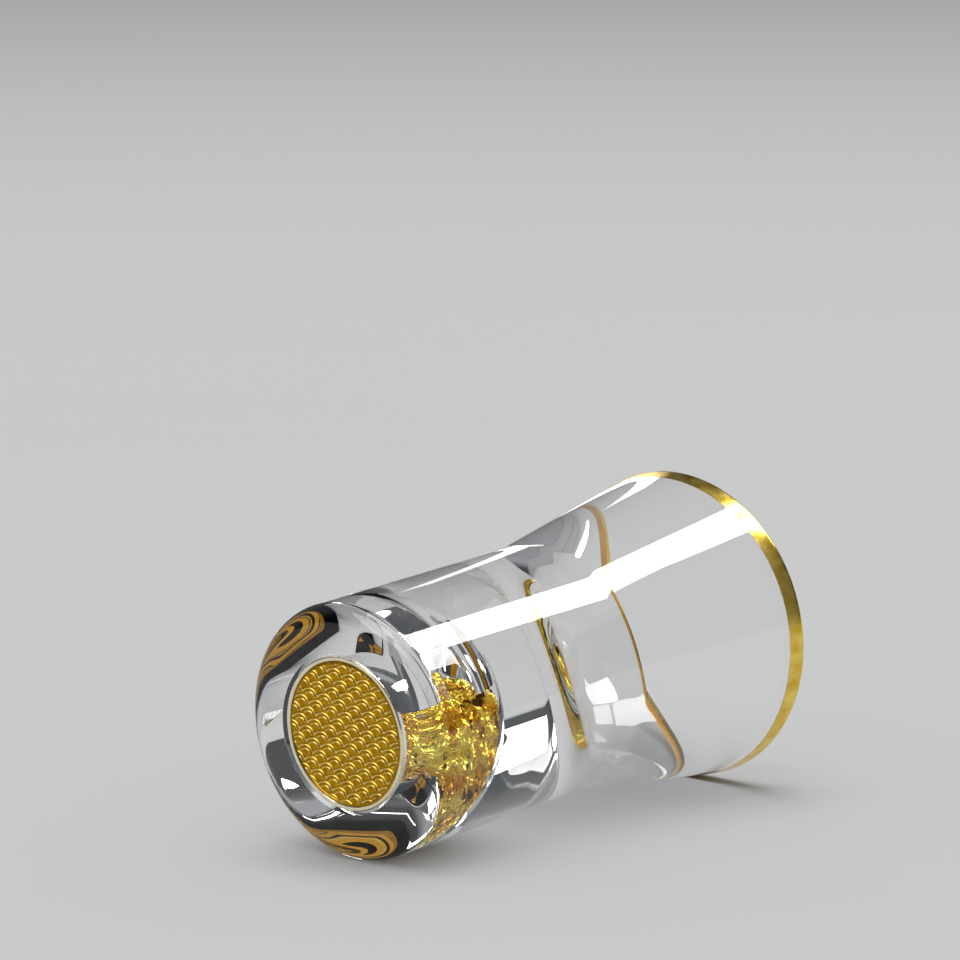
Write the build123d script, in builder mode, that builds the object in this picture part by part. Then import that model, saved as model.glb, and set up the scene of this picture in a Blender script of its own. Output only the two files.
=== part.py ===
from build123d import *
import math
import os

# Crystal shot glass: a heavy base with a sealed chamber under the bowl, most of it
# holding crumpled gold foil in a clear filling, a gilded lip, and an embossed gold
# disc closing the underside.
# Millimetres. The glass stands on z = 0, its axis is Z and its rim is at the top.

# ---- driving dimensions -------------------------------------------------------
HEIGHT = 61.5            # foot to the top of the lip
RIM_RADIUS = 19.0        # outermost radius, at the lip
BASE_RADIUS = 15.0       # straight lower part of the outside
HEEL_WIDTH = 2.9         # how far in the rounded edge of the foot starts
HEEL_HEIGHT = 1.8        # and how far up it ends
WAIST_ROUND = 12.0       # soft change from the straight base to the flared wall
FLARE_ANGLE = 8.8        # outside wall to the axis, above the waist
BOWL_ANGLE = 17.4        # inside wall to the axis
BOWL_BOTTOM_ROUND = 10.0 # spherical bottom of the bowl
LIP_ROUND = 0.68         # half the thickness of the fully rounded lip

CHAMBER_RADIUS = 8.4     # round hollow under the bowl, with a domed top
CHAMBER_TOP = 18.0       # highest point of its dome
SEAT_RADIUS = 9.0        # counterbore the disc and its ring sit in
SEAT_DEPTH = 1.5         # depth of that counterbore
MOUTH_BEVEL = 0.35       # bevel round the counterbore's mouth

GILDING = 0.12           # thickness of the gold on the lip
GILDING_OUTSIDE = 1.9    # how far it reaches down the outside
GILDING_INSIDE = 1.0     # and down the inside

DISC_RADIUS = 8.45       # embossed gold disc
DISC_FACE = 0.42         # its flat face, above the table
DISC_BACK = SEAT_DEPTH   # its back, level with the counterbore's floor
RING_FACE = 0.22         # lower face of the ring round it
SCALE_PITCH = 2.3        # spacing of the scales along a row and between like rows
SCALE_ROUND = 1.3        # radius of each scale's raised edge
SCALE_SWEEP = 124.0      # how far round that edge runs
SCALE_RIDGE = 0.16       # width of the raised line
SCALE_HEIGHT = 0.14      # how far that line stands off the disc
SCALE_TILT = -35.2       # direction the scales point in, about Z

FILL_LEVEL = 3.4         # surface of the filling, measured from the axis
FILL_TOWARDS = -45.0     # direction of the air pocket above it, about Z
FILL_LEAN = 3.9          # how far that direction leans up towards the lip
FOIL = 0.10              # thickness of a foil leaf
FOIL_GAP = 0.25          # filling between a leaf and the glass or the surface
STACK_TOP = 16.8         # highest crease of the topmost leaf, inside the dome

# ---- shared profile points (radius, height) ---------------------------------------
flare = math.radians(FLARE_ANGLE)
slope = math.radians(BOWL_ANGLE)
lip = (RIM_RADIUS - LIP_ROUND, HEIGHT - LIP_ROUND)
heel_centre = (BASE_RADIUS - HEEL_WIDTH, HEEL_HEIGHT)


def outside_wall(depth, inset=0.0):
    """Point on the flared outside wall, a distance down from where the lip starts."""
    reach = LIP_ROUND - inset
    return (
        lip[0] + reach * math.cos(flare) - depth * math.sin(flare),
        lip[1] - reach * math.sin(flare) - depth * math.cos(flare),
    )


def inside_wall(depth, inset=0.0):
    """Point on the bowl's wall, a distance down from where the lip starts."""
    reach = LIP_ROUND - inset
    return (
        lip[0] - reach * math.cos(slope) - depth * math.sin(slope),
        lip[1] + reach * math.sin(slope) - depth * math.cos(slope),
    )


def lip_crown(inset=0.0):
    """Highest point of the rounded lip."""
    return (lip[0], lip[1] + LIP_ROUND - inset)


wall_top = outside_wall(0)
bowl_top = inside_wall(0)
waist = (BASE_RADIUS, wall_top[1] - (wall_top[0] - BASE_RADIUS) / math.tan(flare))
bowl_centre = bowl_top[1] - (bowl_top[0] * math.cos(slope) - BOWL_BOTTOM_ROUND) / math.sin(slope)
bowl_tangent = (
    BOWL_BOTTOM_ROUND * math.cos(slope),
    bowl_centre - BOWL_BOTTOM_ROUND * math.sin(slope),
)
bowl_low = (
    BOWL_BOTTOM_ROUND * math.sin(math.radians(35)),
    bowl_centre - BOWL_BOTTOM_ROUND * math.cos(math.radians(35)),
)
dome_centre = CHAMBER_TOP - CHAMBER_RADIUS
diagonal = math.sqrt(0.5)

os.makedirs("parts", exist_ok=True)

# ---- gilding on the lip -------------------------------------------------------------
with BuildPart() as rim_gilding:
    with BuildSketch(Plane.XZ):
        with BuildLine():
            Line(outside_wall(GILDING_OUTSIDE), wall_top)
            ThreePointArc(wall_top, lip_crown(), bowl_top)
            Line(bowl_top, inside_wall(GILDING_INSIDE))
            Line(inside_wall(GILDING_INSIDE), inside_wall(GILDING_INSIDE, GILDING))
            Line(inside_wall(GILDING_INSIDE, GILDING), inside_wall(0, GILDING))
            ThreePointArc(inside_wall(0, GILDING), lip_crown(GILDING), outside_wall(0, GILDING))
            Line(outside_wall(0, GILDING), outside_wall(GILDING_OUTSIDE, GILDING))
            Line(outside_wall(GILDING_OUTSIDE, GILDING), outside_wall(GILDING_OUTSIDE))
        make_face()
    revolve(axis=Axis.Z)

# ---- crystal body: bowl, thick base, chamber and counterbore --------------------------
with BuildPart() as glass_body:
    with BuildSketch(Plane.XZ) as section:
        with BuildLine():
            Line((SEAT_RADIUS, 0), (heel_centre[0], 0))
            EllipticalCenterArc(heel_centre, HEEL_WIDTH, HEEL_HEIGHT, start_angle=270, arc_size=90)
            Line((BASE_RADIUS, HEEL_HEIGHT), waist)
            Line(waist, wall_top)
            ThreePointArc(wall_top, lip_crown(), bowl_top)
            Line(bowl_top, bowl_tangent)
            ThreePointArc(bowl_tangent, bowl_low, (0, bowl_centre - BOWL_BOTTOM_ROUND))
            Line((0, bowl_centre - BOWL_BOTTOM_ROUND), (0, CHAMBER_TOP))
            ThreePointArc(
                (0, CHAMBER_TOP),
                (CHAMBER_RADIUS * diagonal, dome_centre + CHAMBER_RADIUS * diagonal),
                (CHAMBER_RADIUS, dome_centre),
            )
            Line((CHAMBER_RADIUS, dome_centre), (CHAMBER_RADIUS, SEAT_DEPTH))
            Line((CHAMBER_RADIUS, SEAT_DEPTH), (SEAT_RADIUS, SEAT_DEPTH))
            Line((SEAT_RADIUS, SEAT_DEPTH), (SEAT_RADIUS, 0))
        make_face()
        shoulder = section.vertices().sort_by_distance(waist)[0]
        fillet(shoulder, WAIST_ROUND)
        mouth = section.vertices().sort_by_distance((SEAT_RADIUS, 0))[0]
        chamfer(mouth, MOUTH_BEVEL)
    revolve(axis=Axis.Z)
    add(rim_gilding.part, mode=Mode.SUBTRACT)

# ---- ring that holds the disc in the counterbore ----------------------------------------
with BuildPart() as retaining_ring:
    with BuildSketch(Plane.XY.offset(RING_FACE)):
        Circle(SEAT_RADIUS)
        Circle(DISC_RADIUS, mode=Mode.SUBTRACT)
    extrude(amount=SEAT_DEPTH - RING_FACE)
    outer_edge = retaining_ring.edges().filter_by(GeomType.CIRCLE).group_by(Axis.Z)[0]
    chamfer(outer_edge, 0.12)

# ---- embossed disc: rows of overlapping scales --------------------------------------------
def scale_centres():
    """Centres of the scales whose raised line falls well inside the disc."""
    rows = int(2 * DISC_RADIUS / SCALE_PITCH) + 1
    for row in range(-rows, rows + 1):
        shift = SCALE_PITCH / 2 if row % 2 else 0.0
        for column in range(-rows, rows + 1):
            x = column * SCALE_PITCH + shift
            y = row * SCALE_PITCH / 2
            if math.hypot(x, y) < DISC_RADIUS - SCALE_PITCH * 0.55:
                yield (x, y - SCALE_ROUND * 0.8)


with BuildLine() as scale_line:
    CenterArc((0, 0), SCALE_ROUND, 90 - SCALE_SWEEP / 2, SCALE_SWEEP)

with BuildPart() as base_disc:
    with BuildSketch(Plane.XY.offset(DISC_FACE)):
        Circle(DISC_RADIUS)
    extrude(amount=DISC_BACK - DISC_FACE)
    with BuildSketch(Plane.XY.offset(DISC_FACE).rotated((0, 0, SCALE_TILT - 90))):
        with Locations(*scale_centres()):
            SlotArc(scale_line.wire(), SCALE_RIDGE)
    extrude(amount=-SCALE_HEIGHT)

# ---- crumpled foil leaves, side by side along the chamber, all below the filling's surface -----
LEAF_NAMES = (
    "foil_leaf_on_disc",
    "foil_leaf_second",
    "foil_leaf_third",
    "foil_leaf_fourth",
    "foil_leaf_fifth",
    "foil_leaf_sixth",
    "foil_leaf_under_dome",
    "foil_leaf_in_dome",
)
LEAF_HEIGHT = (STACK_TOP - SEAT_DEPTH) / len(LEAF_NAMES)
LEAF_CREASES = 11
LEAF_TURN = 67.0         # each leaf is turned this much from the one below


def leaf_radius(top):
    """How wide a leaf can be and still clear the chamber's wall and dome."""
    reach = CHAMBER_RADIUS - FOIL_GAP
    rise = max(0.0, top - dome_centre)
    return math.sqrt(reach ** 2 - rise ** 2)


def crease_line(number, radius):
    """Zigzag across one leaf, from low crease to high crease, never quite regular."""
    for k in range(LEAF_CREASES + 1):
        wander = 0.28 * math.sin(2.3 * k + 1.9 * number)
        x = radius * 1.1 * (2 * (k + wander) / LEAF_CREASES - 1)
        low = 0.0 if k % 4 < 2 else 0.22 * (1 + math.sin(1.7 * k + number)) / 2
        yield (x, low if k % 2 == 0 else 1.0 - low)


def above_filling(level):
    """Plane at a level of the filling, facing the air pocket."""
    turn, lean = math.radians(FILL_TOWARDS), math.radians(FILL_LEAN)
    towards = Vector(
        math.cos(turn) * math.cos(lean), math.sin(turn) * math.cos(lean), math.sin(lean)
    )
    return Plane(origin=towards * level, z_dir=towards)


def build_leaf(number):
    """One pleated leaf of foil, trimmed to fit the filled part of the chamber."""
    floor = SEAT_DEPTH + number * LEAF_HEIGHT
    radius = leaf_radius(floor + LEAF_HEIGHT)
    rise = LEAF_HEIGHT - FOIL
    under = [(x, floor + rise * h) for x, h in crease_line(number, radius)]
    over = [(x, z + FOIL) for x, z in reversed(under)]
    with BuildPart() as leaf:
        with BuildSketch(Plane.XZ.rotated((0, 0, LEAF_TURN * number))):
            with BuildLine():
                Polyline(*under, *over, close=True)
            make_face()
        extrude(amount=radius, both=True)
        with BuildSketch(Plane.XY.offset(floor)):
            Circle(radius)
        extrude(amount=LEAF_HEIGHT, mode=Mode.INTERSECT)
        split(bisect_by=above_filling(FILL_LEVEL - FOIL_GAP), keep=Keep.BOTTOM)
    return leaf


leaves = [build_leaf(number) for number in range(len(LEAF_NAMES))]

# ---- clear filling: most of the chamber, with the foil leaves set in it --------------------------
with BuildPart() as clear_filling:
    with BuildSketch(Plane.XZ):
        with BuildLine():
            Line((0, SEAT_DEPTH), (CHAMBER_RADIUS, SEAT_DEPTH))
            Line((CHAMBER_RADIUS, SEAT_DEPTH), (CHAMBER_RADIUS, dome_centre))
            ThreePointArc(
                (CHAMBER_RADIUS, dome_centre),
                (CHAMBER_RADIUS * diagonal, dome_centre + CHAMBER_RADIUS * diagonal),
                (0, CHAMBER_TOP),
            )
            Line((0, CHAMBER_TOP), (0, SEAT_DEPTH))
        make_face()
    revolve(axis=Axis.Z)
    split(bisect_by=above_filling(FILL_LEVEL), keep=Keep.BOTTOM)
    for leaf in leaves:
        add(leaf.part, mode=Mode.SUBTRACT)


# ---- named pieces -----------------------------------------------------------------------------
glass_body.part.label = "glass_body"
export_step(glass_body.part, "parts/glass_body.step")
rim_gilding.part.label = "rim_gilding"
export_step(rim_gilding.part, "parts/rim_gilding.step")
retaining_ring.part.label = "retaining_ring"
export_step(retaining_ring.part, "parts/retaining_ring.step")
base_disc.part.label = "base_disc"
export_step(base_disc.part, "parts/base_disc.step")

clear_filling.part.label = "clear_filling"
export_step(clear_filling.part, "parts/clear_filling.step")

for leaf, name in zip(leaves, LEAF_NAMES):
    leaf.part.label = name
    export_step(leaf.part, f"parts/{name}.step")
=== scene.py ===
import math

import bmesh
import bpy
from mathutils import Matrix, Vector, noise


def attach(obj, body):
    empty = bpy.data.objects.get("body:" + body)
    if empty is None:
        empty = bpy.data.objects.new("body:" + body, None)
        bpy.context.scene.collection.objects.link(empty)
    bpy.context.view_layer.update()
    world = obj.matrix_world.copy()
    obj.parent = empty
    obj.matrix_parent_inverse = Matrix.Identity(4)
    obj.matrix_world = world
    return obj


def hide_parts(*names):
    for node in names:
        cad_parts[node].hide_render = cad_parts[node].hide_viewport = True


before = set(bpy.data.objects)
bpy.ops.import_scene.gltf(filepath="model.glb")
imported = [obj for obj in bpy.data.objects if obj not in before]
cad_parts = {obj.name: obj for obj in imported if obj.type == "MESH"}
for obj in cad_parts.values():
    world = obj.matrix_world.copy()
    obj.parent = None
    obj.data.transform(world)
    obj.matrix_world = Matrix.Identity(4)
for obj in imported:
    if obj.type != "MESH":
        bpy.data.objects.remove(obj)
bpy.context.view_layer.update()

# ---- sizes, in metres, the same as the frame's ----------------------------------------------
MM = 0.001
HEIGHT = 61.5 * MM
RIM_RADIUS = 19.0 * MM
BASE_RADIUS = 15.0 * MM
HEEL_WIDTH = 2.9 * MM
HEEL_HEIGHT = 1.8 * MM
WAIST_ROUND = 12.0 * MM
FLARE = math.radians(8.8)
BOWL_SLOPE = math.radians(17.4)
BOWL_ROUND = 10.0 * MM
LIP_ROUND = 0.68 * MM
CHAMBER_RADIUS = 8.4 * MM
CHAMBER_TOP = 18.0 * MM
SEAT_RADIUS = 9.0 * MM
SEAT_DEPTH = 1.5 * MM
MOUTH_BEVEL = 0.35 * MM
GILDING = 0.12 * MM
GILDING_OUTSIDE = 1.9 * MM
GILDING_INSIDE = 1.0 * MM
GILDING_GAP = 0.004 * MM         # between the gilding and the crystal
DISC_RADIUS = 8.45 * MM
DISC_FACE = 0.42 * MM
RING_FACE = 0.22 * MM
FIT = 0.02 * MM                  # clearance round the disc and the ring
SCALE_PITCH = 2.3 * MM
SCALE_ROUND = 1.3 * MM
SCALE_INNER = 0.64               # size of the line inside each scale, and its share of the height
SCALE_INNER_SHARE = 0.9
SCALE_SWEEP = math.radians(124.0)
SCALE_RIDGE = 0.16 * MM
SCALE_HEIGHT = 0.14 * MM
SCALE_TILT = math.radians(-35.2)
EMBOSS_STEP = 0.07 * MM
EMBOSS_MARGIN = 0.25 * MM

# Divisions of the circle, and steps along the rounds of the profile.
GLASS_ROUND = 256
FITTING_ROUND = 192
CHAMBER_ROUND = 160
LIP_STEPS = 20
SHARP = math.radians(30)

# The glass lies with its foot and lip on this floor.
LEAN = math.radians(3.886)
FLOOR_REACH = 14.834 * MM
floor_up = Vector((math.cos(LEAN) * math.sqrt(0.5), -math.cos(LEAN) * math.sqrt(0.5), math.sin(LEAN)))

flare_degrees = math.degrees(FLARE)
slope_degrees = math.degrees(BOWL_SLOPE)
lip = (RIM_RADIUS - LIP_ROUND, HEIGHT - LIP_ROUND)


def wall_point(side, depth, inset=0.0):
    """Point on the outside (+1) or inside (-1) wall, a distance down from the lip."""
    angle = FLARE if side > 0 else BOWL_SLOPE
    reach = (LIP_ROUND - inset) * side
    return (
        lip[0] + reach * math.cos(angle) - depth * math.sin(angle),
        lip[1] - reach * math.sin(angle) - depth * math.cos(angle),
    )


def arc(centre, radius, start, end, steps, height=None):
    """Points of an arc; angles in degrees, 0 outwards and 90 up. A height makes it an ellipse."""
    height = radius if height is None else height
    points = []
    for k in range(steps + 1):
        t = math.radians(start + (end - start) * k / steps)
        points.append((centre[0] + radius * math.cos(t), centre[1] + height * math.sin(t)))
    return points


# ---- meshes ---------------------------------------------------------------------------------
def new_piece(name, verts, faces, smooth=True):
    mesh = bpy.data.meshes.new(name)
    mesh.from_pydata([tuple(v) for v in verts], [], faces)
    mesh.update()
    if smooth:
        mesh.shade_smooth()
    else:
        mesh.shade_flat()
    piece = bpy.data.objects.new(name, mesh)
    bpy.context.scene.collection.objects.link(piece)
    return piece


def revolve(name, outline, segments):
    """Closed surface of revolution. The outline runs with the solid on its left."""
    on_axis = 1e-7
    verts, rings = [], []
    for r, z in outline:
        if r < on_axis:
            rings.append([len(verts)])
            verts.append((0.0, 0.0, z))
        else:
            first = len(verts)
            rings.append(list(range(first, first + segments)))
            for k in range(segments):
                t = 2 * math.pi * k / segments
                verts.append((r * math.cos(t), r * math.sin(t), z))
    faces = []
    for i, low in enumerate(rings):
        high = rings[(i + 1) % len(rings)]
        if len(low) == 1 and len(high) == 1:
            continue
        for k in range(segments):
            j = (k + 1) % segments
            if len(low) == 1:
                faces.append((low[0], high[j], high[k]))
            elif len(high) == 1:
                faces.append((low[k], low[j], high[0]))
            else:
                faces.append((low[k], low[j], high[j], high[k]))
    piece = new_piece(name, verts, faces)
    piece.data.set_sharp_from_angle(angle=SHARP)
    return piece


def grid_piece(name, points, across, along):
    """Open sheet of flat facets; the points come in rows of along + 1."""
    faces = []
    for i in range(across):
        for j in range(along):
            a = i * (along + 1) + j
            faces.append((a, a + along + 1, a + along + 2, a + 1))
    return new_piece(name, points, faces, smooth=False)


# ---- crystal, gilding and ring --------------------------------------------------------------
def glass_outline():
    wall_top, bowl_top = wall_point(1, 0), wall_point(-1, 0)
    waist_z = wall_top[1] - (wall_top[0] - BASE_RADIUS) / math.tan(FLARE)
    trim = WAIST_ROUND * math.tan(FLARE / 2)
    bowl_reach = bowl_top[0] * math.cos(BOWL_SLOPE) - BOWL_ROUND
    bowl_centre = bowl_top[1] - bowl_reach / math.sin(BOWL_SLOPE)
    heel = (BASE_RADIUS - HEEL_WIDTH, HEEL_HEIGHT)
    waist = (BASE_RADIUS + WAIST_ROUND, waist_z - trim)
    points = [(SEAT_RADIUS + MOUTH_BEVEL, 0.0)]
    points += arc(heel, HEEL_WIDTH, -90, 0, 20, HEEL_HEIGHT)
    points += arc(waist, WAIST_ROUND, 180, 180 - flare_degrees, 8)
    points.append(wall_point(1, GILDING_OUTSIDE))
    points.append(wall_point(1, GILDING_OUTSIDE, GILDING))
    points += arc(lip, LIP_ROUND - GILDING, -flare_degrees, 180 - slope_degrees, LIP_STEPS)
    points.append(wall_point(-1, GILDING_INSIDE, GILDING))
    points.append(wall_point(-1, GILDING_INSIDE))
    points += arc((0, bowl_centre), BOWL_ROUND, -slope_degrees, -90, 24)
    points.append((0.0, SEAT_DEPTH))
    points.append((SEAT_RADIUS, SEAT_DEPTH))
    points.append((SEAT_RADIUS, MOUTH_BEVEL))
    return points


def gilding_outline():
    outside, inside = GILDING_OUTSIDE - GILDING_GAP, GILDING_INSIDE - GILDING_GAP
    points = [wall_point(1, outside)]
    points += arc(lip, LIP_ROUND, -flare_degrees, 180 - slope_degrees, LIP_STEPS)
    points.append(wall_point(-1, inside))
    points.append(wall_point(-1, inside, GILDING - GILDING_GAP))
    back = LIP_ROUND - GILDING + GILDING_GAP
    points += arc(lip, back, 180 - slope_degrees, -flare_degrees, LIP_STEPS)
    points.append(wall_point(1, outside, GILDING - GILDING_GAP))
    return points


def ring_outline():
    """The face is set back at both edges, so that they catch the light."""
    return [
        (DISC_RADIUS + FIT, RING_FACE + 0.10 * MM),
        (DISC_RADIUS + 0.08 * MM, RING_FACE + 0.02 * MM),
        (DISC_RADIUS + 0.20 * MM, RING_FACE),
        (SEAT_RADIUS - 0.15 * MM, RING_FACE),
        (SEAT_RADIUS - FIT, RING_FACE + 0.14 * MM),
        (SEAT_RADIUS - FIT, SEAT_DEPTH - FIT),
        (DISC_RADIUS + FIT, SEAT_DEPTH - FIT),
    ]


glass = revolve("crystal_glass", glass_outline(), GLASS_ROUND)
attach(glass, "root"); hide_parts("glass_body")

gilding = revolve("lip_gilding", gilding_outline(), GLASS_ROUND)
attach(gilding, "root"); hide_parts("rim_gilding")

ring = revolve("disc_ring", ring_outline(), FITTING_ROUND)
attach(ring, "root"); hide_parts("retaining_ring")


# ---- embossed disc --------------------------------------------------------------------------
def scale_height(x, y):
    """How far the embossing stands off the disc's face at a point, 0 to 1."""
    c, s = math.cos(SCALE_TILT), math.sin(SCALE_TILT)
    along, across = x * c + y * s, y * c - x * s
    row_step = SCALE_PITCH / 2
    ridge = SCALE_RIDGE * 0.65
    best = 0.0
    first = math.floor(along / row_step)
    for row in range(first - 1, first + 3):
        shift = row_step if row % 2 else 0.0
        column = round((across - shift) / SCALE_PITCH)
        dx = along - row * row_step + SCALE_ROUND * 0.8
        dy = across - shift - column * SCALE_PITCH
        if abs(math.atan2(dy, dx)) > SCALE_SWEEP / 2:
            continue
        d = math.hypot(dx, dy)
        for size, share in ((1.0, 1.0), (SCALE_INNER, SCALE_INNER_SHARE)):
            best = max(best, share * max(0.0, 1.0 - ((d - SCALE_ROUND * size) / ridge) ** 2))
    return best


def embossed_face():
    """Fine square grid over the disc's face, raised along the scales' lines."""
    verts, faces, index = [], [], {}
    reach = DISC_RADIUS - EMBOSS_MARGIN
    n = int(reach / EMBOSS_STEP)
    for i in range(-n, n + 1):
        for j in range(-n, n + 1):
            x, y = i * EMBOSS_STEP, j * EMBOSS_STEP
            if math.hypot(x, y) <= reach:
                index[i, j] = len(verts)
                verts.append((x, y, DISC_FACE - SCALE_HEIGHT * scale_height(x, y)))
    for (i, j), a in index.items():
        b, c, d = index.get((i + 1, j)), index.get((i + 1, j + 1)), index.get((i, j + 1))
        if b is not None and c is not None and d is not None:
            faces.append((a, d, c, b))
    return new_piece("embossed_face", verts, faces)


def plate_outline():
    """Plate behind the embossed face, with a low bead round its edge."""
    return [
        (0.0, DISC_FACE + 0.02 * MM),
        (DISC_RADIUS - 0.3 * MM, DISC_FACE + 0.02 * MM),
        (DISC_RADIUS - 0.2 * MM, DISC_FACE - 0.05 * MM),
        (DISC_RADIUS - FIT, DISC_FACE),
        (DISC_RADIUS - FIT, SEAT_DEPTH - FIT),
        (0.0, SEAT_DEPTH - FIT),
    ]


disc_face = embossed_face()
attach(disc_face, "root"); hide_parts("base_disc")
disc_plate = revolve("disc_plate", plate_outline(), FITTING_ROUND)
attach(disc_plate, "root"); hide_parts("base_disc")

# ---- chamber: clear filling and the air above it, level with the lying floor ----------------
FILL_LEVEL = 3.4 * MM
FILL_GAP = 0.02 * MM             # each side of the filling's surface
WALL_GAP = 0.01 * MM
CHAMBER_LOW = SEAT_DEPTH + 0.05 * MM
DOME_CENTRE = CHAMBER_TOP - CHAMBER_RADIUS


def chamber_part(name, keep_above):
    """Closed piece of the chamber above or below the level of the filling."""
    wall = CHAMBER_RADIUS - WALL_GAP
    outline = [(0.0, CHAMBER_LOW), (wall, CHAMBER_LOW)]
    outline += arc((0, DOME_CENTRE), wall, 0, 90, 40)
    piece = revolve(name, outline, CHAMBER_ROUND)
    level = floor_up * (FILL_LEVEL + (FILL_GAP if keep_above else -FILL_GAP))
    mesh = bmesh.new()
    mesh.from_mesh(piece.data)
    cut = bmesh.ops.bisect_plane(
        mesh, geom=mesh.verts[:] + mesh.edges[:] + mesh.faces[:], plane_co=level,
        plane_no=floor_up, clear_inner=keep_above, clear_outer=not keep_above)
    rim = [e for e in cut["geom_cut"] if isinstance(e, bmesh.types.BMEdge)]
    bmesh.ops.contextual_create(mesh, geom=rim)
    bmesh.ops.recalc_face_normals(mesh, faces=mesh.faces[:])
    mesh.to_mesh(piece.data)
    mesh.free()
    piece.data.set_sharp_from_angle(angle=SHARP)
    return piece


air = chamber_part("air_pocket", True)
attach(air, "root")
filling = chamber_part("chamber_filling", False)
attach(filling, "root"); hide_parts("clear_filling")

# ---- foil -----------------------------------------------------------------------------------
FOIL_STEP = 0.15 * MM
CREASES = ((2.6 * MM, 1.0), (1.1 * MM, 0.6), (0.5 * MM, 0.3))   # size, share of the depth
LINING_LENGTH = 21 * MM          # up the chamber's wall and over the dome
SIDE_WAVE, SIDE_WAVES = 0.06, 9.0      # uneven edges: radians round the wall
END_WAVE, END_WAVES = 0.012, 11.0      # and a share of the way along it
LOW_SIDE = math.atan2(-floor_up.y, -floor_up.x)


def crumple(p, seed):
    """Creased height, made of folded noise at three sizes."""
    total = 0.0
    for size, share in CREASES:
        total += share * abs(noise.noise(Vector((p[0] / size, p[1] / size, p[2] / size + seed))))
    return total


def chamber_wall(w):
    """Radius and height on the chamber's wall, w from the disc (0) over the dome to its top (1)."""
    straight = DOME_CENTRE - SEAT_DEPTH
    s = w * (straight + CHAMBER_RADIUS * math.pi / 2)
    if s <= straight:
        return CHAMBER_RADIUS, SEAT_DEPTH + s
    a = (s - straight) / CHAMBER_RADIUS
    return CHAMBER_RADIUS * math.cos(a), DOME_CENTRE + CHAMBER_RADIUS * math.sin(a)


def foil_lining(name, seed, t0, t1, w0, w1, sink, depth):
    """One sheet of foil pressed against the chamber's wall, creased inwards."""
    nu = int(abs(t1 - t0) * CHAMBER_RADIUS / FOIL_STEP)
    nv = int((w1 - w0) * LINING_LENGTH / FOIL_STEP)
    points = []
    for i in range(nu + 1):
        for j in range(nv + 1):
            t = t0 + (t1 - t0) * i / nu + SIDE_WAVE * math.sin(SIDE_WAVES * j / nv + seed)
            w = w0 + (w1 - w0) * j / nv + END_WAVE * math.sin(END_WAVES * i / nu + seed)
            r, z = chamber_wall(min(max(w, 0.01), 0.995))
            p = Vector((r * math.cos(t), r * math.sin(t), z))
            inward = Vector((0, 0, min(z, DOME_CENTRE))) - p
            inward.normalize()
            points.append(p + inward * (sink + depth * crumple(p, seed)))
    return grid_piece(name, points, nu, nv)


def foil_sheet(name, seed, level, rise, z0, z1):
    """One sheet of foil lying across the chamber. Near the dome it stands a little out of the filling."""
    flat_up = Vector((floor_up.x, floor_up.y, 0)).normalized()
    level_side = Vector((0, 0, 1)).cross(flat_up)
    reach = CHAMBER_RADIUS - 0.35 * MM
    nu, nv = int(2 * 8 * MM / FOIL_STEP), int((z1 - z0) / FOIL_STEP)
    points = []
    for i in range(nu + 1):
        for j in range(nv + 1):
            z = z0 + (z1 - z0) * j / nv
            r = math.sqrt(reach ** 2 - max(0.0, z - DOME_CENTRE) ** 2)
            half = math.sqrt(max(r ** 2 - (level + rise) ** 2, 0.0))
            p = level_side * (half * (2 * i / nu - 1)) + Vector((0, 0, z))
            lift = level + rise * (crumple(p, seed) * 1.4 - 0.3)
            points.append(p + flat_up * min(lift, level + rise))
    return grid_piece(name, points, nu, nv)


# CAD node, angles from the low side, start and end along the wall, then in millimetres how far
# the sheet lies from the wall and how deep its creases are.
LININGS = (
    ("foil_leaf_on_disc", -1.85, -0.45, 0.02, 0.42, 0.30, 1.5),
    ("foil_leaf_second", -0.6, 0.75, 0.02, 0.46, 0.25, 0.9),
    ("foil_leaf_third", 0.55, 1.85, 0.02, 0.44, 0.30, 1.2),
    ("foil_leaf_fourth", -1.80, -0.4, 0.36, 0.76, 0.25, 1.5),
    ("foil_leaf_fifth", -0.55, 0.8, 0.38, 0.80, 0.25, 1.0),
    ("foil_leaf_sixth", 0.6, 1.82, 0.36, 0.80, 0.30, 1.2),
    ("foil_leaf_under_dome", -1.7, 1.7, 0.70, 0.97, 0.30, 1.2),
)
foils = []
for k, (node, t0, t1, w0, w1, sink, depth) in enumerate(LININGS):
    leaf = foil_lining(node.replace("foil_leaf", "crumpled_foil"), 3.7 * k,
                       LOW_SIDE + t0, LOW_SIDE + t1, w0, w1, sink * MM, depth * MM)
    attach(leaf, "root"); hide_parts(node)
    foils.append(leaf)
leaf = foil_sheet("crumpled_foil_in_dome", 31.0, 2.0 * MM, 1.1 * MM, 2.2 * MM, 16.6 * MM)
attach(leaf, "root"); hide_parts("foil_leaf_in_dome")
foils.append(leaf)

# ---- materials ------------------------------------------------------------------------------
CRYSTAL_IOR = 1.54
FILLING_IOR = 1.51
SHADE_OF_GLASS = (0.90, 0.905, 0.915, 1)


def add_node(nodes, kind, values=None, **settings):
    """New shader node with its settings, then the values of its sockets."""
    node = nodes.new("ShaderNode" + kind)
    for name, value in settings.items():
        setattr(node, name, value)
    for socket, value in (values or {}).items():
        node.inputs[socket].default_value = value
    return node


def switch(nodes, links, factor, first, second, output):
    """Send the first shader to the output where the factor is 0, the second where it is 1."""
    mix = add_node(nodes, "MixShader")
    links.new(factor, mix.inputs["Fac"])
    links.new(first, mix.inputs[1])
    links.new(second, mix.inputs[2])
    links.new(mix.outputs["Shader"], output.inputs["Surface"])


def new_material(name, values):
    """Material with these values on its shader."""
    mat = bpy.data.materials.new(name)
    mat.use_nodes = True
    nodes = mat.node_tree.nodes
    shader = nodes["Principled BSDF"]
    for socket, value in values.items():
        shader.inputs[socket].default_value = value
    return mat, nodes, mat.node_tree.links, shader


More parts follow.
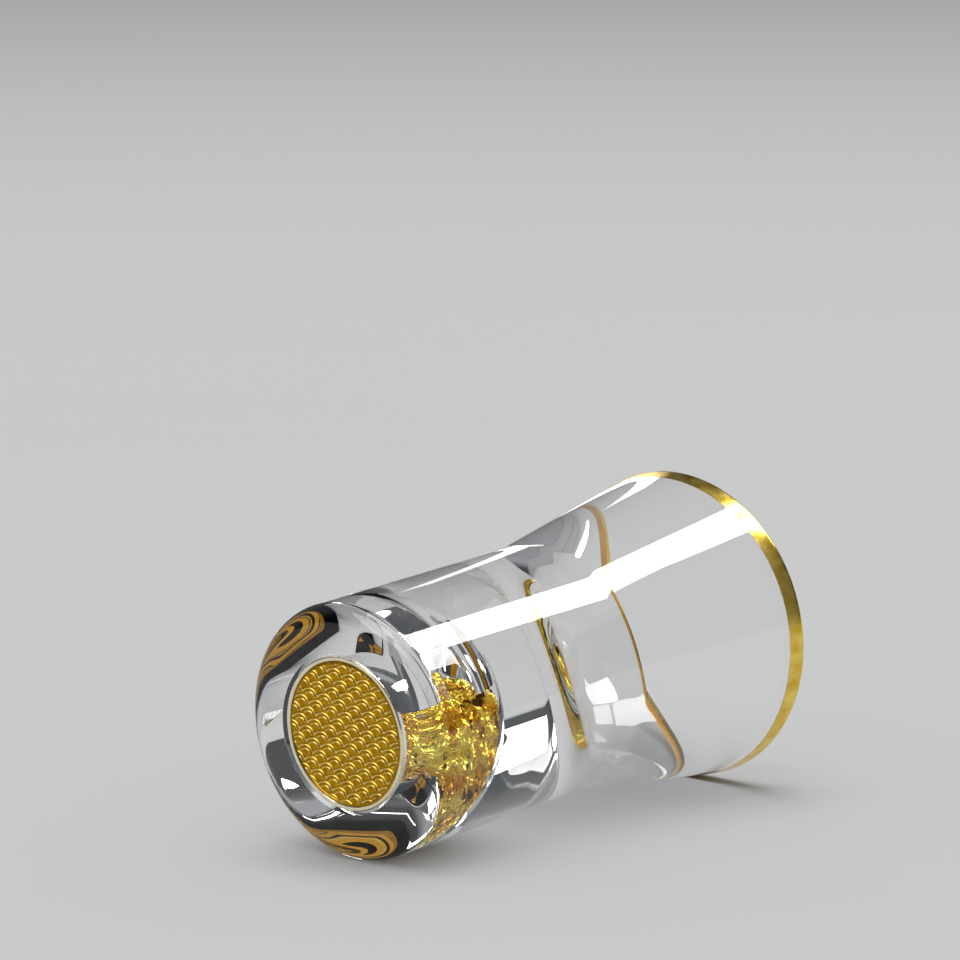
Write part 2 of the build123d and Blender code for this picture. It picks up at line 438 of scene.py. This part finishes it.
def crystal(name, ior):
    """Clear glass that casts only a faint shadow."""
    mat, nodes, links, shader = new_material(name, {
        "Base Color": (1, 1, 1, 1), "Roughness": 0.0, "IOR": ior, "Transmission Weight": 1.0})
    clear = add_node(nodes, "BsdfTransparent", {"Color": SHADE_OF_GLASS})
    path = add_node(nodes, "LightPath")
    switch(nodes, links, path.outputs["Is Shadow Ray"], shader.outputs["BSDF"],
           clear.outputs["BSDF"], nodes["Material Output"])
    return mat


def metal(name, dark, light, rough, scale):
    """Metal between two tones and two roughnesses, mottled by noise."""
    mat, nodes, links, shader = new_material(name, {"Metallic": 1.0})
    coords = add_node(nodes, "TexCoord")
    grain = add_node(nodes, "TexNoise", {"Scale": scale, "Detail": 3.0})
    links.new(coords.outputs["Object"], grain.inputs["Vector"])
    ramp = add_node(nodes, "ValToRGB")
    for stop, position, colour in zip(ramp.color_ramp.elements, (0.35, 0.65), (dark, light)):
        stop.position = position
        stop.color = (*colour, 1)
    links.new(grain.outputs["Fac"], ramp.inputs["Fac"])
    links.new(ramp.outputs["Color"], shader.inputs["Base Color"])
    spread = add_node(nodes, "MapRange", {"To Min": rough[0], "To Max": rough[1]})
    links.new(grain.outputs["Fac"], spread.inputs["Value"])
    links.new(spread.outputs["Result"], shader.inputs["Roughness"])
    return mat


def gold_underside():
    """Amber back of the fired gold, with a painted glow: emission that stands in for the light that the
    wall carries to it.
    """
    amber = (0.70, 0.36, 0.015)
    mat, nodes, links, shader = new_material("underside of the fired gold", {"Roughness": 0.45})
    mottle = add_node(nodes, "TexNoise", {"Scale": 500.0})
    coords = add_node(nodes, "TexCoord")
    links.new(coords.outputs["Object"], mottle.inputs["Vector"])
    darker = (*[0.8 * c for c in amber], 1)
    blend = add_node(nodes, "Mix", {"A": darker, "B": (*amber, 1)}, data_type="RGBA")
    links.new(mottle.outputs["Fac"], blend.inputs["Factor"])
    links.new(blend.outputs["Result"], shader.inputs["Base Color"])
    # Painted glow: the amber is also fed to the emission, so the gold's back lights itself as if lit
    # through the wall.
    links.new(blend.outputs["Result"], shader.inputs["Emission Color"])
    painted_glow = add_node(nodes, "MapRange", {"To Min": 0.25, "To Max": 0.65})
    links.new(mottle.outputs["Fac"], painted_glow.inputs["Value"])
    links.new(painted_glow.outputs["Result"], shader.inputs["Emission Strength"])
    return mat


def embossed_gold():
    """Satin gold with a painted highlight on the raised lines, which are made paler as if they catch the
    light; the lines are found by their height.
    """
    mat = metal("embossed gold", (0.42, 0.20, 0.002), (0.62, 0.33, 0.005), (0.24, 0.36), 1500)
    nodes, links = mat.node_tree.nodes, mat.node_tree.links
    split = add_node(nodes, "SeparateXYZ")
    links.new(nodes["Texture Coordinate"].outputs["Object"], split.inputs["Vector"])
    height = add_node(nodes, "MapRange", {
        "From Min": DISC_FACE - SCALE_HEIGHT * 0.25, "From Max": DISC_FACE - SCALE_HEIGHT * 0.8})
    links.new(split.outputs["Z"], height.inputs["Value"])
    # Painted highlight: the raised lines are mixed towards pale gold by their height.
    blend = add_node(nodes, "Mix", {"B": (1.0, 0.80, 0.26, 1)}, data_type="RGBA")
    links.new(height.outputs["Result"], blend.inputs["Factor"])
    links.new(nodes["Color Ramp"].outputs["Color"], blend.inputs["A"])
    links.new(blend.outputs["Result"], nodes["Principled BSDF"].inputs["Base Color"])
    return mat


def dress(piece, mat):
    piece.data.materials.clear()
    piece.data.materials.append(mat)


# The air and the filling are drawn inside the crystal, so each one's index is relative to it.
dress(glass, crystal("clear crystal", CRYSTAL_IOR))
dress(air, crystal("air pocket wall", 1 / CRYSTAL_IOR))
dress(filling, crystal("filling wall", FILLING_IOR / CRYSTAL_IOR))
dress(gilding, metal("fired lip gold", (0.80, 0.50, 0.05), (0.98, 0.72, 0.16), (0.14, 0.28), 600))
gilding.data.materials.append(gold_underside())
back_rings = range(LIP_STEPS + 3, 2 * LIP_STEPS + 5)    # faces of the outline against the crystal
for face in gilding.data.polygons:
    if face.index // GLASS_ROUND in back_rings:
        face.material_index = 1
dress(ring, metal("pale gold ring", (0.90, 0.80, 0.55), (0.98, 0.92, 0.72), (0.12, 0.22), 500))
disc_gold = embossed_gold()
dress(disc_face, disc_gold)
dress(disc_plate, disc_gold)
# The light end of the mottle is the leaf's own gold. The dark amber end is painted shade, standing in for
# the shade between the crumpled leaves, and the noise spreads it at random.
foil_gold = metal("leaf gold", (0.68, 0.30, 0.005), (1.0, 0.86, 0.15), (0.12, 0.28), 360)
for leaf in foils:
    dress(leaf, foil_gold)

# ---- stage: the floor that the lying glass touches ------------------------------------------
PALE = (0.80, 0.80, 0.79, 1)
FLOOR_SIZE = 12.0


def one_sided(name, colour):
    """Matt material that isn't there from behind, so the views from below see past the floor."""
    mat, nodes, links, shader = new_material(name, {
        "Base Color": colour, "Roughness": 0.9, "Specular IOR Level": 0.0})
    clear = add_node(nodes, "BsdfTransparent")
    side = add_node(nodes, "NewGeometry")
    switch(nodes, links, side.outputs["Backfacing"], shader.outputs["BSDF"],
           clear.outputs["BSDF"], nodes["Material Output"])
    return mat


def floor(name, centre, normal, size, mat):
    turn = normal.to_track_quat("Z", "Y").to_matrix().to_4x4()
    place = Matrix.Translation(centre) @ turn
    half = size / 2
    corners = [place @ Vector((x * half, y * half, 0)) for x, y in ((-1, -1), (1, -1), (1, 1), (-1, 1))]
    piece = new_piece(name, corners, [(0, 1, 2, 3)], smooth=False)
    dress(piece, mat)
    piece.visible_shadow = False


floor("lying_floor", -floor_up * FLOOR_REACH, floor_up, FLOOR_SIZE, one_sided("pale floor", PALE))

# ---- light ----------------------------------------------------------------------------------
AXIS = Vector((0, 0, 1))
middle = Vector((0, 0, 0.031))


def softbox(name, centre, width, height, power, along=AXIS):
    """Rectangular lamp aimed at the glass. The glass doesn't focus it on to the floor."""
    data = bpy.data.lights.new(name, "AREA")
    data.shape = "RECTANGLE"
    data.size, data.size_y = width, height
    data.energy = power
    data.use_nodes = True
    nodes, links = data.node_tree.nodes, data.node_tree.links
    path = add_node(nodes, "LightPath")
    direct = add_node(nodes, "Math", {1: 0.5}, operation="LESS_THAN")
    links.new(path.outputs["Diffuse Depth"], direct.inputs[0])
    links.new(direct.outputs["Value"], nodes["Emission"].inputs["Strength"])
    lamp = bpy.data.objects.new(name, data)
    back = (centre - middle).normalized()
    side = along.cross(back).normalized()
    turn = Matrix((side, back.cross(side), back)).transposed().to_4x4()
    lamp.matrix_world = Matrix.Translation(centre) @ turn
    lamp.visible_camera = False
    bpy.context.scene.collection.objects.link(lamp)
    return lamp


def glint(name, towards, distance, width, height, power, along=AXIS):
    """Lamp that is seen in the glass and the gold but leaves the floor alone."""
    centre = middle + Vector(towards).normalized() * distance
    lamp = softbox(name, centre, width, height, power, along)
    lamp.visible_diffuse = False
    return lamp


overhead = softbox("big_soft", middle + floor_up * 2.0, 1.6, 1.6, 24.0)
overhead.visible_transmission = False
glint("strip", (0.72, -0.42, 0.55), 0.35, 0.11, 0.42, 1.9)
glint("far_strip", (-0.30, -0.62, 0.72), 0.40, 0.010, 0.20, 0.02, floor_up)
glint("left_strip", (-0.80, -0.40, 0.45), 0.40, 0.010, 0.20, 0.04, floor_up)
relief = glint("relief", (0.30, -0.60, -0.74), 0.40, 0.24, 0.24, 0.5)
relief.visible_transmission = False

AROUND = (0.32, 0.328, 0.34, 1)        # what the camera sees, and the light on the floor
ENDS = (0.045, 0.05, 0.055, 1)         # darker towards both ends of the glass's axis
ENDS_FROM, ENDS_FULL = 0.45, 0.65      # height of the direction at which the ends begin


def studio_world():
    """Even grey. Seen in or through the glass it darkens towards the ends of the axis."""
    world = bpy.data.worlds.new("studio")
    world.use_nodes = True
    nodes, links = world.node_tree.nodes, world.node_tree.links
    plain = nodes["Background"]
    plain.inputs["Color"].default_value = AROUND
    towards = add_node(nodes, "TexCoord")
    split = add_node(nodes, "SeparateXYZ")
    links.new(towards.outputs["Generated"], split.inputs["Vector"])
    steep = add_node(nodes, "Math", operation="ABSOLUTE")
    links.new(split.outputs["Z"], steep.inputs[0])
    fade = add_node(nodes, "MapRange", {"From Min": ENDS_FROM, "From Max": ENDS_FULL})
    links.new(steep.outputs["Value"], fade.inputs["Value"])
    shade = add_node(nodes, "Mix", {"A": AROUND, "B": ENDS}, data_type="RGBA")
    links.new(fade.outputs["Result"], shade.inputs["Factor"])
    in_glass = add_node(nodes, "Background")
    links.new(shade.outputs["Result"], in_glass.inputs["Color"])
    path = add_node(nodes, "LightPath")
    either = add_node(nodes, "Math", operation="MAXIMUM")
    links.new(path.outputs["Is Glossy Ray"], either.inputs[0])
    links.new(path.outputs["Is Transmission Ray"], either.inputs[1])
    switch(nodes, links, either.outputs["Value"], plain.outputs["Background"],
           in_glass.outputs["Background"], nodes["World Output"])
    return world


bpy.context.scene.world = studio_world()

# ---- camera: level with the lying glass, looking at its underside ---------------------------
CAMERA_AT = Vector((0.33305, 0.14693, -0.35655))
RIGHT = Vector((0.50014, 0.56476, 0.65644))
UP = Vector((0.61991, -0.76280, 0.18395))

camera_data = bpy.data.cameras.new("camera")
camera_data.lens = 168.75
camera_data.sensor_width = 36.0
camera_data.clip_start = 0.01
camera = bpy.data.objects.new("camera", camera_data)
right = RIGHT.normalized()
up = (UP - right * UP.dot(right)).normalized()
turn = Matrix((right, up, right.cross(up))).transposed().to_4x4()
camera.matrix_world = Matrix.Translation(CAMERA_AT) @ turn
bpy.context.scene.collection.objects.link(camera)
bpy.context.scene.camera = camera

bpy.context.scene.view_settings.view_transform = "Standard"
